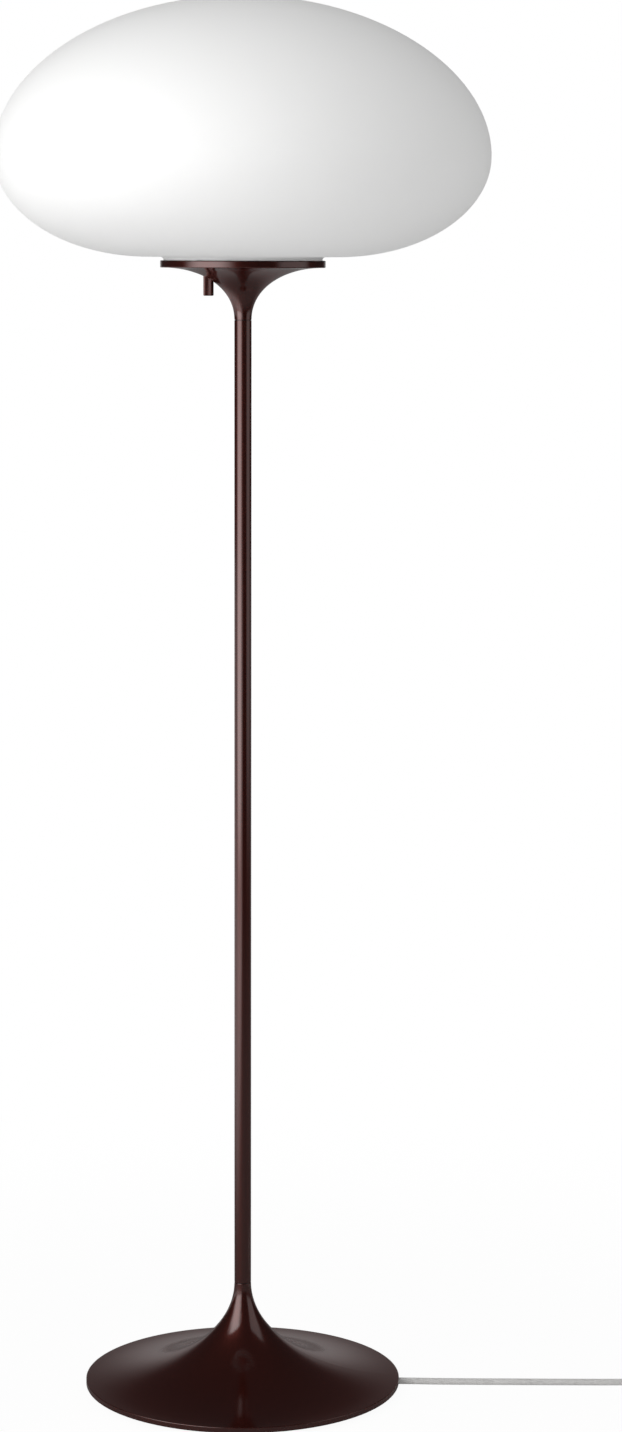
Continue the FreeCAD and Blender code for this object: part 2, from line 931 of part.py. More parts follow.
def holder_skirt():
    """Outer sleeve that screws over the spigot and hides the thread shell."""
    top = holder_seam + skirt_length
    outer = holder_radius
    inner = holder_radius - holder_wall + thread_gap
    upper = inner - holder_wall
    step = insert_top + thread_gap
    skirt = turned(
        [
            (inner, holder_seam),
            (outer, holder_seam),
            (outer, top - holder_wall),
            (outer - holder_wall, top),
            (upper, top),
            (upper, step),
            (inner, step),
        ]
    )
    return skirt


def wave(radius, depth, pitch, bottom, top):
    """Zigzag of a rolled thread's crests and roots, as (radius, height) points."""
    count = int((top - bottom) / (pitch / 2))
    return [(radius + depth * (k % 2), bottom + pitch / 2 * k) for k in range(count + 1)]


def thread_shell():
    """Rolled brass shell around the bulb's cap."""
    foot = insert_top
    inside = wave(shell_radius, shell_wave, shell_pitch, foot + shell_wall, foot + shell_length)
    outside = [(r + shell_wall, z) for r, z in reversed(inside)]
    flange = [(shell_radius + 2 * shell_wall, foot), (shell_radius, foot)]
    return turned(inside + outside + flange)


def centre_contact():
    """Sprung brass tongue that meets the bulb's tip."""
    foot = insert_top
    top = foot + contact_rise
    lower = [(-contact_tail, foot), (-contact_bend, foot)]
    lower += [(contact_tip_start, top - contact_thickness), (contact_tip_end, top - contact_thickness)]
    upper = [(x, z + contact_thickness) for x, z in reversed(lower)]
    corners = [Vector(x, -contact_width / 2, z) for x, z in lower + upper]
    return Part.Face(Part.makePolygon(corners + corners[:1])).extrude(Vector(0, contact_width, 0))


# ------------------------------------------------------------------------ bulb


def bulb_envelope(inset):
    """Bulb outline from its crown to its neck's foot, drawn inwards by inset."""
    centre = bulb_bottom + bulb_length - bulb_radius
    r = bulb_radius - inset
    neck = bulb_neck_radius - inset
    shoulder = bulb_bottom + cap_length - bulb_neck_drop
    foot = bulb_bottom + cap_length - cap_overlap
    slant = r * math.sqrt(0.5)
    return [
        arc((0, centre + r), (slant, centre + slant), (r, centre)),
        bezier(
            (r, centre),
            (r, centre - bulb_belly_reach),
            (neck, shoulder + bulb_neck_reach),
            (neck, shoulder),
        ),
        line((neck, shoulder), (neck, foot)),
    ]


def bulb_glass():
    """Thin round envelope."""
    foot = bulb_bottom + cap_length - cap_overlap
    top = bulb_bottom + bulb_length
    return revolve(
        bulb_envelope(0.0)
        + bulb_envelope(bulb_wall)
        + [
            line((bulb_neck_radius, foot), (bulb_neck_radius - bulb_wall, foot)),
            line((0, top), (0, top - bulb_wall)),
        ]
    )


def bulb_cap():
    """Rolled screw cap."""
    bottom = bulb_bottom + cap_rise
    skirt = bulb_bottom + cap_length
    root = cap_radius - cap_wave
    outside = [(cap_foot_radius, bottom)] + wave(root, cap_wave, shell_pitch, bottom, skirt - cap_lip)
    outside += [(cap_radius, skirt - cap_lip_taper), (cap_radius, skirt)]
    inside = [(r - cap_wall, z) for r, z in reversed(outside[2:])]
    inside += [(root - cap_wall, bottom + cap_wall), (cap_foot_radius, bottom + cap_wall)]
    return turned(outside + inside)


def bulb_insulator():
    """Dark glass cone between the cap and its tip."""
    bottom = bulb_bottom + tip_height
    top = bulb_bottom + cap_rise
    rim = top - insulator_rim
    return turned(
        [
            (0, bottom),
            (insulator_foot_radius, bottom),
            (insulator_radius, rim),
            (insulator_radius, top),
            (0, top),
        ]
    )


def bulb_contact():
    """Tip contact, chamfered at its face."""
    shoulder = bulb_bottom + tip_crown
    top = bulb_bottom + tip_height
    return turned(
        [
            (0, bulb_bottom),
            (tip_radius - tip_crown, bulb_bottom),
            (tip_radius, shoulder),
            (tip_radius, top),
            (0, top),
        ]
    )


def bulb_stem():
    """Glass stem that closes the envelope and carries the filaments."""
    foot = bulb_bottom + cap_length - cap_overlap
    top = foot + filament_rise + filament_length
    return turned(
        [
            (0, foot),
            (bulb_neck_radius - bulb_wall, foot),
            (bulb_neck_radius - bulb_wall, foot + bulb_wall),
            (filament_stem_radius + bulb_wall, foot + filament_stem_flare / 2),
            (filament_stem_radius, foot + filament_stem_flare),
            (filament_stem_radius, top),
            (0, top + filament_stem_radius),
        ]
    )


def bulb_filaments():
    """Upright filament sticks around the stem."""
    bottom = bulb_bottom + cap_length - cap_overlap + filament_rise
    reach = filament_stem_radius + filament_radius + filament_gap
    step = 2 * math.pi / filament_count
    angles = [step * k for k in range(filament_count)]
    sticks = [
        disc(filament_radius, bottom, bottom + filament_length, reach * math.cos(a), reach * math.sin(a))
        for a in angles
    ]
    return Part.makeCompound(sticks)


# ---------------------------------------------------------------------- wiring


def lead_top():
    """Height at which the cord's cores part, inside the lampholder."""
    return holder_bottom + holder_floor + holder_nut_height + lead_past_nut


def inner_lead():
    """The cord's held part: through the clamp, round the bend and up the stem."""
    points = [
        Vector(relief_start + relief_length, 0, channel_height),
        Vector(lead_bend, 0, channel_height),
        Vector(0, 0, channel_height + lead_bend),
        Vector(0, 0, lead_top()),
    ]
    slant = lead_bend * math.sqrt(0.5)
    middle = Vector(lead_bend - slant, 0, channel_height + lead_bend - slant)
    path = Part.Wire(
        [
            Part.LineSegment(points[0], points[1]).toShape(),
            Part.Arc(points[1], middle, points[2]).toShape(),
            Part.LineSegment(points[2], points[3]).toShape(),
        ]
    )
    lead = sweep(path, cord_radius)
    report_tube("inner_lead", lead, path, cord_radius, [lead_bend])
    return lead


def core_wires():
    """Live core to the dimmer, switched core back to a terminal, and neutral core to the other."""
    top = lead_top()
    level = core_level()
    case_face = case_corners()[1][0]
    under_screw = holder_seam - terminal_head_height
    apart = cord_radius / 2
    live = [
        Vector(-apart, 0, top),
        Vector(-apart, 0, level),
        Vector(-terminal_offset, -core_spacing, level),
        Vector(case_face, -core_spacing, level),
    ]
    switched = [
        Vector(case_face, core_spacing, level),
        Vector(-terminal_offset, core_spacing, level),
        Vector(-terminal_offset, 0, level + 1.5 * core_spacing),
        Vector(-terminal_offset, 0, under_screw),
    ]
    neutral = [
        Vector(apart, 0, top),
        Vector(apart, 0, level),
        Vector(terminal_offset, 0, level + core_spacing),
        Vector(terminal_offset, 0, under_screw),
    ]
    wires = []
    for route in (live, switched, neutral):
        path, _ = soft_path(route, core_bend)
        wires.append(sweep(path, core_radius))
    return Part.makeCompound(wires)


# ------------------------------------------------------------------------ cord


def run_points():
    """The cord from its strain relief, down to the floor under the rim and straight to the coil."""
    floor = cord_radius
    return [
        Vector(relief_start + relief_length, 0, channel_height),
        Vector(88, 0, channel_height),
        Vector(136, 0, floor),
        Vector(384, 0, floor),
        Vector(412, coil_side, floor),
        Vector(coil_centre_x - 2 * cord_radius, coil_side, floor),
    ]


def tail_points():
    """The cord from the coil's end down to the plug."""
    x = coil_centre_x + coil_outer_radius
    y = coil_side + coil_outer_radius + 2 * cord_radius
    level = cord_radius + coil_pitch
    plug_level = plug_thickness / 2
    return [
        Vector(x, y, level),
        Vector(x, y + 16, level),
        Vector(x + 3, y + 44, plug_level),
        Vector(x + 3, y + 60, plug_level),
    ]


def cord_run():
    """Tube along the cord's visible stretch."""
    path, radii = soft_path(run_points())
    solid = sweep(path, cord_radius)
    report_tube("cord_run", solid, path, cord_radius, radii)
    return solid


def cord_tail():
    """Tube from the coil to the plug."""
    path, radii = soft_path(tail_points())
    solid = sweep(path, cord_radius)
    report_tube("cord_tail", solid, path, cord_radius, radii)
    return solid


def coil_place(turn):
    """Point and heading of the coil's centre line after a number of turns."""
    reversal = coil_turns / 2
    slope = -coil_pitch if turn < reversal else coil_pitch
    radius = coil_outer_radius - coil_pitch * reversal + coil_pitch * abs(turn - reversal)
    climb = min(max((turn - reversal) / coil_climb_turns + 0.5, 0.0), 1.0)
    height = cord_radius + coil_pitch * climb**2 * (3 - 2 * climb)
    steepness = coil_pitch * 6 * climb * (1 - climb) / coil_climb_turns
    angle = 2 * math.pi * turn - math.pi / 2
    outward = Vector(math.cos(angle), math.sin(angle), 0)
    along = Vector(-math.sin(angle), math.cos(angle), 0)
    at_end = min(abs(turn - stop) for stop in (0, reversal, coil_turns)) < MATCH
    heading = along * (2 * math.pi * radius) + UP * steepness
    if not at_end:
        heading = heading + outward * slope
    heading.normalize()
    centre = Vector(coil_centre_x, coil_side + coil_outer_radius, 0)
    return centre + outward * radius + UP * height, heading


def arc_from(start, heading, end):
    """Arc that leaves start along heading and reaches end."""
    chord = end - start
    length = chord.Length
    chord.normalize()
    side = heading - chord * heading.dot(chord)
    side.normalize()
    bulge = length / 2 * math.tan(heading.getAngle(chord) / 2)
    return Part.Arc(start, (start + end) * 0.5 + side * bulge, end).toShape()


def biarc(start, start_heading, end, end_heading):
    """Two tangent arcs between two points with given headings."""
    chord = end - start
    both = start_heading + end_heading
    spread = 2 * (1 - start_heading.dot(end_heading))
    reach = chord.dot(both)
    step = (math.sqrt(reach**2 + spread * chord.dot(chord)) - reach) / spread
    joint = (start + start_heading * step + end - end_heading * step) * 0.5
    back = arc_from(end, end_heading * -1, joint)
    middle = back.valueAt((back.FirstParameter + back.LastParameter) / 2)
    return [arc_from(start, start_heading, joint), Part.Arc(joint, middle, end).toShape()]


def coil_path():
    """Centre line of the coil: straight ends, and a biarc for each quarter turn between them."""
    half_stops = round(coil_turns * 2)
    stops = [coil_turns / 2 * k / half_stops for k in range(2 * half_stops + 1)]
    places = [coil_place(s) for s in stops]
    ahead = 2 * cord_radius
    first, first_heading = places[0]
    last, last_heading = places[-1]
    edges = [Part.LineSegment(first - first_heading * ahead, first).toShape()]
    for (a, a_heading), (b, b_heading) in zip(places, places[1:]):
        edges += biarc(a, a_heading, b, b_heading)
    edges.append(Part.LineSegment(last, last + last_heading * ahead).toShape())
    return Part.Wire(edges)


def least_gap(path, count=1200):
    """Least free gap of a tube to itself, measured between points over half a turn apart."""
    points = path.discretize(Number=count)
    apart = int(count / coil_turns / 2)
    nearest = min(
        (points[a] - points[b]).Length for a in range(count) for b in range(a + apart, count)
    )
    return nearest - 2 * cord_radius


def cord_coil():
    """Put-away length of the cord, wound in two layers on the floor."""
    path = coil_path()
    solid = sweep(path, cord_radius)
    inner = coil_outer_radius - 2 * coil_travel
    report_tube("cord_coil", solid, path, cord_radius, [inner])
    print("    least gap of the coil to itself %.2f" % least_gap(path))
    return solid


# ------------------------------------------------------------------------ plug


def plug_start():
    """Where the cord enters the plug's strain relief; the plug lies along +Y from here."""
    return tail_points()[-1]


def plug_relief():
    """Ribbed, tapered strain relief of the plug."""
    start = plug_start()
    along = Vector(0, 1, 0)
    tip = cord_radius + plug_relief_wall
    cone = Part.makeCone(tip, plug_relief_radius, plug_relief_length, start, along)
    step = plug_relief_length / (plug_relief_ribs + 1)
    width = step / 3
    for k in range(plug_relief_ribs):
        reach = step * (k + 1) - width / 2
        radius = tip + (plug_relief_radius - tip) * reach / plug_relief_length
        place = start + along * reach
        groove = Part.makeCylinder(2 * plug_relief_radius, width, place, along)
        groove = groove.cut(Part.makeCylinder(radius - plug_groove_depth, width, place, along))
        cone = cone.cut(groove)
    return cone


def plug_face():
    """Middle of the plug's front face."""
    return plug_start() + Vector(0, plug_relief_length + plug_length, 0)


def plug_body():
    """Flat two-pin plug body with rounded edges."""
    start = plug_start() + Vector(0, plug_relief_length, 0)
    half = plug_width / 2
    right = [
        (plug_back_width / 2, 0),
        (half, plug_shoulder_length),
        (half, plug_length - plug_nose_length),
        (half - plug_nose_inset, plug_length),
    ]
    left = [(-x, y) for x, y in reversed(right)]
    corners = [start + Vector(x, y, -plug_thickness / 2) for x, y in right + left]
    body = Part.Face(Part.makePolygon(corners + corners[:1])).extrude(Vector(0, 0, plug_thickness))
    front_y = plug_face().y
    kept = [
        e for e in body.Edges if not all(abs(v.Point.y - front_y) < MATCH for v in e.Vertexes)
    ]
    return body.makeFillet(plug_rounding, kept)


def pin_starts():
    """Where the two pins leave the plug's face."""
    half = pin_spacing / 2
    return [plug_face() + Vector(side * half, 0, 0) for side in (-1, 1)]


def plug_pins():
    """Round contact pins with rounded tips."""
    along = Vector(0, 1, 0)
    pins = []
    for start in pin_starts():
        core = Part.makeCylinder(sleeve_radius - sleeve_wall, sleeve_length, start, along)
        shoulder = start + along * sleeve_length
        straight = pin_length - sleeve_length - pin_radius / 2
        bare = Part.makeCylinder(pin_radius, straight, shoulder, along)
        tip = Part.makeCone(pin_radius, pin_radius / 2, pin_radius / 2, shoulder + along * straight, along)
        pins.append(core.fuse(bare).fuse(tip))
    return Part.makeCompound(pins)


def plug_pin_sleeves():
    """Insulating sleeves round the pins' roots."""
    along = Vector(0, 1, 0)
    sleeves = []
    for start in pin_starts():
        outer = Part.makeCylinder(sleeve_radius, sleeve_length, start, along)
        inner = Part.makeCylinder(sleeve_radius - sleeve_wall, sleeve_length, start, along)
        sleeves.append(outer.cut(inner))
    return Part.makeCompound(sleeves)


# ----------------------------------------------------------------------- write

PIECES = [
    base_cover,
    base_weight,
    base_plate,
    base_plate_screws,
    base_pad,
    base_nipple,
    base_washer,
    base_nut,
    cord_bushing,
    cord_clamp,
    cord_clamp_screws,
    lower_coupling,
    stem_tube,
    upper_coupling,
    upper_nipple,
    gallery_body,
    gallery_tray,
    gallery_washer,
    gallery_nut,
    glass_cushion,
    shade_glass,
    dimmer_case,
    dimmer_lid,
    dimmer_board,
    dimmer_bushing,
    dimmer_washer,
    dimmer_nut,
    dimmer_shaft,
    knob,
    holder_base,
    holder_nut,
    holder_insert,
    holder_skirt,
    thread_shell,
    centre_contact,
    terminal_screws,
    bulb_glass,
    bulb_cap,
    bulb_insulator,
    bulb_contact,
    bulb_stem,
    bulb_filaments,
    inner_lead,
    core_wires,
    cord_run,
    cord_coil,
    cord_tail,
    plug_relief,
    plug_body,
    plug_pins,
    plug_pin_sleeves,
]

os.makedirs("parts", exist_ok=True)
for piece in PIECES:
    save(piece.__name__, piece())
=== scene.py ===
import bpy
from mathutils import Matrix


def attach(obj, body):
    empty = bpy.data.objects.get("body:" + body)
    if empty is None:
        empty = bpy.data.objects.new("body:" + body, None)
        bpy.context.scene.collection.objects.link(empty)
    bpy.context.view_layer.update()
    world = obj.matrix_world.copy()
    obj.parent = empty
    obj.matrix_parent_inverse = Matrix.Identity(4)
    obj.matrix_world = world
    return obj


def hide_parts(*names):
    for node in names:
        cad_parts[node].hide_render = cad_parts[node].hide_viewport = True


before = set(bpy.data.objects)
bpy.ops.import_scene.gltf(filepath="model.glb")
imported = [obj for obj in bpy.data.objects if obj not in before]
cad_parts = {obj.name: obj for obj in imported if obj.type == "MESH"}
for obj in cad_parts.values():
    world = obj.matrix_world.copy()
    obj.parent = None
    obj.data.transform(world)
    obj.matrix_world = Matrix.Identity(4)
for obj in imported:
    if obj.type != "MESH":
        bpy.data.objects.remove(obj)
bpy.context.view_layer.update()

import math

import bpy
from bpy.props import FloatProperty, FloatVectorProperty, IntProperty, PointerProperty
from mathutils import Quaternion, Vector

bl_info = {
    "name": "Mushroom floor lamp",
    "version": (1, 0, 0),
    "blender": (4, 5, 0),
    "location": "View3D > Sidebar > Lamp",
    "description": "Finishes, woven cord and studio for a mushroom floor lamp",
    "category": "Object",
}

STAND = "stand"
WHITE = (1.0, 1.0, 1.0, 1.0)

# A softbox that hangs higher than this, in metres, is tilted down to face it.
AIM_TOP = 1.65

# How far the camera sees, in metres.
CAMERA_REACH = 50


# ---------------------------------------------------------------- shader tools

class Value:
    """A socket that a shader works out. Sums on it add Math nodes."""

    def __init__(self, finish, socket):
        self.finish = finish
        self.socket = socket

    def math(self, operation, *terms):
        """The value of a Math node that takes the terms in order."""
        return self.finish.node("Math", {"operation": operation}, dict(enumerate(terms)))

    def output(self, name):
        """Another output of the node that this value comes from."""
        return Value(self.finish, self.socket.node.outputs[name])

    def __add__(self, other):
        return self.math("ADD", self, other)

    def __sub__(self, other):
        return self.math("SUBTRACT", self, other)

    def __rsub__(self, other):
        return self.math("SUBTRACT", other, self)

    def __mul__(self, other):
        return self.math("MULTIPLY", self, other)

    def __truediv__(self, other):
        return self.math("DIVIDE", self, other)

    def __mod__(self, other):
        return self.math("FLOORED_MODULO", self, other)

    def __abs__(self):
        return self.math("ABSOLUTE", self)

    def __floor__(self):
        return self.math("FLOOR", self)

    __radd__ = __add__
    __rmul__ = __mul__


class Finish:
    """A procedural material, written as node calls and sums on their values."""

    def __init__(self, tree):
        self.tree = tree
        tree.nodes.clear()

    def node(self, kind, settings=None, inputs=None):
        """Adds a node: first its settings, then the values or links of its sockets."""
        made = self.tree.nodes.new("ShaderNode" + kind)
        for name, setting in (settings or {}).items():
            setattr(made, name, setting)
        for key, given in (inputs or {}).items():
            socket = made.inputs[key] if isinstance(key, int) else shown_socket(made.inputs, key)
            if isinstance(given, Value):
                self.tree.links.new(given.socket, socket)
            else:
                socket.default_value = given
        if made.outputs:
            made = Value(self, next(socket for socket in made.outputs if socket.enabled))
        return made

    def place(self):
        """Where a point lies on its piece, in metres."""
        return self.node("TexCoord").output("Object")

    def stretched(self, scale):
        """The same place with each axis scaled by itself, for grain that runs one way."""
        return self.node("VectorMath", {"operation": "MULTIPLY"}, {0: self.place(), 1: scale})

    def noise(self, scale, detail=2.0, place=None):
        """Cloudy noise from 0 to 1. A larger scale makes finer clouds."""
        place = place or self.place()
        return self.node("TexNoise", None, {"Vector": place, "Scale": scale, "Detail": detail})

    def along(self, direction):
        """How far a point lies from the origin along a direction, in metres."""
        return self.node("VectorMath", {"operation": "DOT_PRODUCT"}, {0: self.place(), 1: direction})

    def tone(self, share, low, high):
        """A colour between low and high."""
        return self.node("Mix", {"data_type": "RGBA"}, {"Factor": share, "A": low, "B": high})

    def ease(self, given, start, end):
        """Rises smoothly from 0 at start to 1 at end."""
        span = {"Value": given, "From Min": start, "From Max": end}
        return self.node("MapRange", {"interpolation_type": "SMOOTHSTEP"}, span)

    def relief(self, height, depth):
        """A normal for a height from 0 to 1 that stands as deep as depth, in metres."""
        return self.node("Bump", None, {"Height": height, "Distance": depth})

    def surface(self, inputs):
        """Ends the material in one Principled shader."""
        shader = self.node("BsdfPrincipled", None, inputs)
        self.node("OutputMaterial", None, {"Surface": shader})


def shown_socket(sockets, name):
    """The socket of that name that the node's settings show."""
    return next(socket for socket in sockets if socket.enabled and socket.name == name)


def scaled(colour, share):
    """The colour made darker or lighter by a share."""
    return tuple(share * part for part in colour[:3]) + (1.0,)


# ---------------------------------------------------------------- finishes

LACQUER_GLOW = (0.9, 0.45, 0.42, 1.0)


def lacquer(finish, colours):
    """Dark oxblood lacquer: a pigment that glows round the lights, under a clear coat with orange peel."""
    cloud = finish.noise(9.0, 3.0)
    peel = finish.noise(150.0, 1.0)
    finish.surface({
        "Base Color": finish.tone(cloud, scaled(colours.lacquer, 0.92), scaled(colours.lacquer, 1.08)),
        "Metallic": 0.82,
        "Roughness": 0.32 + 0.04 * finish.noise(30.0),
        "Specular Tint": LACQUER_GLOW,
        "Coat Weight": 1.0,
        "Coat IOR": 1.8,
        "Coat Roughness": 0.12,
        "Normal": finish.relief(peel, 0.000004),
    })


def knob_lacquer(finish, colours):
    """The same lacquer on turned metal, thinner, so that the turning shows."""
    turning = finish.noise(1.0, 2.0, finish.stretched((60.0, 60.0, 2600.0)))
    finish.surface({
        "Base Color": finish.tone(turning, scaled(colours.lacquer, 0.8), scaled(colours.lacquer, 1.25)),
        "Metallic": 0.8,
        "Roughness": 0.34 + 0.08 * turning,
        "Specular Tint": LACQUER_GLOW,
        "Coat Weight": 0.8,
        "Coat IOR": 1.7,
        "Coat Roughness": 0.16,
        "Normal": finish.relief(turning, 0.00001),
    })


def opal_glass(finish, colours):
    """Blown opal glass with an etched satin skin. Seen in reflections its colour is painted down to a small
    share, a painted dark reflection, so the lacquer under it mirrors it only faintly.
    """
    flow = finish.noise(7.0, 2.0)
    etch = finish.noise(900.0, 2.0)
    body = finish.tone(flow, scaled(colours.opal, 0.992), colours.opal)
    # Painted dark reflection: glossy rays see the glass at a small share of its colour.
    painted_dark_reflection = scaled(colours.opal, 0.12)
    mirrored = finish.node("LightPath").output("Is Glossy Ray")
    finish.surface({
        "Base Color": finish.tone(mirrored, body, painted_dark_reflection),
        "Roughness": 0.5 + 0.08 * etch,
        "Specular IOR Level": 0.35,
        "Normal": finish.relief(flow + 0.01 * etch, 0.0012),
    })


def metal(finish, colour, roughness, grain, depth):
    """Bare or plated metal with a fine grain, as deep as depth."""
    fine = finish.noise(grain, 3.0)
    tarnish = finish.noise(35.0, 3.0)
    finish.surface({
        "Base Color": finish.tone(tarnish, scaled(colour, 0.82), colour),
        "Metallic": 1.0,
        "Roughness": roughness + 0.12 * fine,
        "Normal": finish.relief(fine, depth),
    })


def turned_metal(finish, colour, roughness):
    """Metal turned on a lathe: fine rings up its height."""
    rings = finish.noise(1.0, 2.0, finish.stretched((40.0, 40.0, 3000.0)))
    finish.surface({
        "Base Color": finish.tone(rings, scaled(colour, 0.85), colour),
        "Metallic": 1.0,
        "Roughness": roughness + 0.1 * rings,
        "Normal": finish.relief(rings, 0.000012),
    })


def moulded(finish, colour, roughness, depth):
    """Moulded plastic or rubber: a fine spark texture and a little unevenness of tone."""
    spark = finish.noise(1500.0, 2.0)
    cloud = finish.noise(25.0, 2.0)
    finish.surface({
        "Base Color": finish.tone(cloud, scaled(colour, 0.86), scaled(colour, 1.06)),
        "Roughness": roughness + 0.12 * spark,
        "Normal": finish.relief(spark, depth),
    })


def cast_iron(finish, colours):
    """Sand cast ballast: coarse grain with a dull grey-black primer."""
    coarse = finish.noise(320.0, 6.0)
    stain = finish.noise(14.0, 4.0)
    finish.surface({
        "Base Color": finish.tone(stain, (0.022, 0.022, 0.024, 1.0), (0.05, 0.047, 0.044, 1.0)),
        "Metallic": 0.35,
        "Roughness": 0.62 + 0.25 * coarse,
        "Normal": finish.relief(coarse, 0.0004),
    })


def ceramic(finish, colours):
    """Glazed white steatite with a few darker specks."""
    specks = finish.ease(finish.noise(700.0, 1.0), 0.66, 0.74)
    glaze = finish.noise(90.0, 2.0)
    finish.surface({
        "Base Color": finish.tone(specks, (0.8, 0.78, 0.73, 1.0), (0.5, 0.46, 0.4, 1.0)),
        "Roughness": 0.2 + 0.1 * glaze,
        "Normal": finish.relief(glaze, 0.00008),
    })


def white_enamel(finish, colours):
    """White stoving enamel on the tray, which throws light back into the glass."""
    peel = finish.noise(500.0, 1.0)
    finish.surface({
        "Base Color": finish.tone(finish.noise(20.0), (0.8, 0.79, 0.76, 1.0), (0.85, 0.845, 0.82, 1.0)),
        "Roughness": 0.24 + 0.08 * peel,
        "Normal": finish.relief(peel, 0.00003),
    })


def circuit_board(finish, colours):
    """Green solder mask with lighter tracks on a square grid."""
    place = finish.node("SeparateXYZ", None, {0: finish.place()})
    across_per_metre, along_per_metre = 500.0, 250.0
    across = finish.ease(abs((place.output("X") * across_per_metre) % 1.0 - 0.5), 0.16, 0.1)
    along = finish.ease(abs((place.output("Y") * along_per_metre) % 1.0 - 0.5), 0.08, 0.04)
    tracks = across.math("MAXIMUM", across, along)
    finish.surface({
        "Base Color": finish.tone(tracks, (0.006, 0.055, 0.02, 1.0), (0.02, 0.13, 0.045, 1.0)),
        "Roughness": 0.36 + 0.1 * finish.noise(300.0),
        "Normal": finish.relief(tracks, 0.00004),
    })


def clear_plastic(finish, colours):
    """Clear soft ring under the glass."""
    haze = finish.noise(120.0, 2.0)
    finish.surface({
        "Base Color": finish.tone(haze, (0.86, 0.87, 0.86, 1.0), (0.93, 0.94, 0.93, 1.0)),
        "Transmission Weight": 0.85,
        "IOR": 1.43,
        "Roughness": 0.2 + 0.15 * haze,
    })


def frosted_glass(finish, colours):
    """The bulb's envelope, frosted inside."""
    frost = finish.noise(1200.0, 2.0)
    finish.surface({
        "Base Color": finish.tone(finish.noise(40.0), (0.88, 0.88, 0.87, 1.0), (0.94, 0.94, 0.93, 1.0)),
        "Transmission Weight": 0.3,
        "IOR": 1.5,
        "Roughness": 0.32 + 0.12 * frost,
        "Normal": finish.relief(frost, 0.00001),
    })


def clear_glass(finish, colours, tint=(0.96, 0.97, 0.96, 1.0), clearness=1.0):
    """Lamp-worked glass with faint streaks."""
    streaks = finish.noise(1.0, 2.0, finish.stretched((500.0, 500.0, 60.0)))
    finish.surface({
        "Base Color": finish.tone(streaks, scaled(tint, 0.96), tint),
        "Transmission Weight": clearness,
        "IOR": 1.5,
        "Roughness": 0.04 + 0.05 * streaks,
        "Normal": finish.relief(streaks, 0.00001),
    })


def woven(finish, colours):
    """The cord's braid: yarns that wind both ways round it and pass over and under by turns, with painted
    shade where a yarn dips under another.
    """
    braid = bpy.context.scene.lamp_cord
    chart = finish.node("SeparateXYZ", None, {0: finish.node("TexCoord").output("UV")})
    along = chart.output("X") / braid.braid_pitch
    around = chart.output("Y") * braid.yarns
    right = around + along
    left = around - along
    yarn = 1.0 - abs(right % 1.0 - 0.5) * 2.0
    crossing = 1.0 - abs(left % 1.0 - 0.5) * 2.0
    over = (math.floor(right) + math.floor(left)) % 2.0
    height = over * yarn + (1.0 - over) * crossing
    fibre = finish.noise(2600.0, 3.0)
    mottle = finish.noise(190.0, 3.0)
    # Painted shade: low yarn edges and gaps take the darker gap colour; fibre and mottle add uneven tone.
    shade = finish.ease(height * 0.75 + fibre * 0.5 + mottle * 0.35, 0.25, 1.15)
    finish.surface({
        "Base Color": finish.tone(shade, colours.painted_gap_shade, colours.cord),
        "Roughness": 0.82 + 0.12 * fibre,
        "Specular IOR Level": 0.2,
        "Normal": finish.relief(height + 0.3 * fibre, 0.00035),
    })


def finish_makers():
    """What makes the finish of each of the record's material slots."""
    steel = (0.42, 0.43, 0.45, 1.0)
    zinc = (0.52, 0.54, 0.56, 1.0)
    brass = (0.62, 0.43, 0.18, 1.0)
    nickel = (0.6, 0.58, 0.54, 1.0)
    solder = (0.48, 0.48, 0.49, 1.0)
    coal = (0.012, 0.012, 0.013, 1.0)
    return {
        "lacquer": lacquer,
        "lacquer_knob": knob_lacquer,
        "opal_glass": opal_glass,
        "ballast_iron": cast_iron,
        "white_ceramic": ceramic,
        "white_enamel": white_enamel,
        "circuit_board": circuit_board,
        "clear_rubber": clear_plastic,
        "frosted_glass": frosted_glass,
        "clear_glass": clear_glass,
        "cord_fabric": woven,
        "dark_glass": lambda finish, colours: clear_glass(finish, colours, (0.012, 0.012, 0.03, 1.0), 0.0),
        "blackened_steel": lambda finish, colours: metal(finish, scaled(steel, 0.16), 0.42, 800.0, 0.00002),
        "zinc_steel": lambda finish, colours: metal(finish, zinc, 0.3, 600.0, 0.00002),
        "brass": lambda finish, colours: turned_metal(finish, brass, 0.2),
        "pin_brass": lambda finish, colours: metal(finish, nickel, 0.2, 900.0, 0.00001),
        "nickel_cap": lambda finish, colours: turned_metal(finish, nickel, 0.24),
        "solder": lambda finish, colours: metal(finish, solder, 0.3, 500.0, 0.00008),
        "filament": lambda finish, colours: metal(finish, scaled(steel, 0.5), 0.4, 3000.0, 0.00001),
        "pad_rubber": lambda finish, colours: moulded(finish, coal, 0.8, 0.00015),
        "black_rubber": lambda finish, colours: moulded(finish, coal, 0.62, 0.00006),
        "black_plastic": lambda finish, colours: moulded(finish, coal, 0.4, 0.00004),
        "core_plastic": lambda finish, colours: moulded(finish, (0.1, 0.045, 0.02, 1.0), 0.4, 0.00003),
        "plug_plastic": lambda finish, colours: moulded(finish, colours.plug, 0.42, 0.00004),
        "sleeve_plastic": lambda finish, colours: moulded(finish, coal, 0.4, 0.00002),
    }


def finish_named(slot):
    """The material of a slot, made when it is first asked for."""
    name = slot + "_finish"
    if name not in bpy.data.materials:
        material = bpy.data.materials.new(name)
        material.use_nodes = True
        finish_makers()[slot](Finish(material.node_tree), bpy.context.scene.lamp_colours)
    return bpy.data.materials[name]


def dress(*nodes):
    """Gives each carried-over piece the finish of its own slot."""
    for node in nodes:
        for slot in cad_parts[node].material_slots:
            slot.material = finish_named(slot.material.name.split(".")[0])


# ---------------------------------------------------------------- the cord

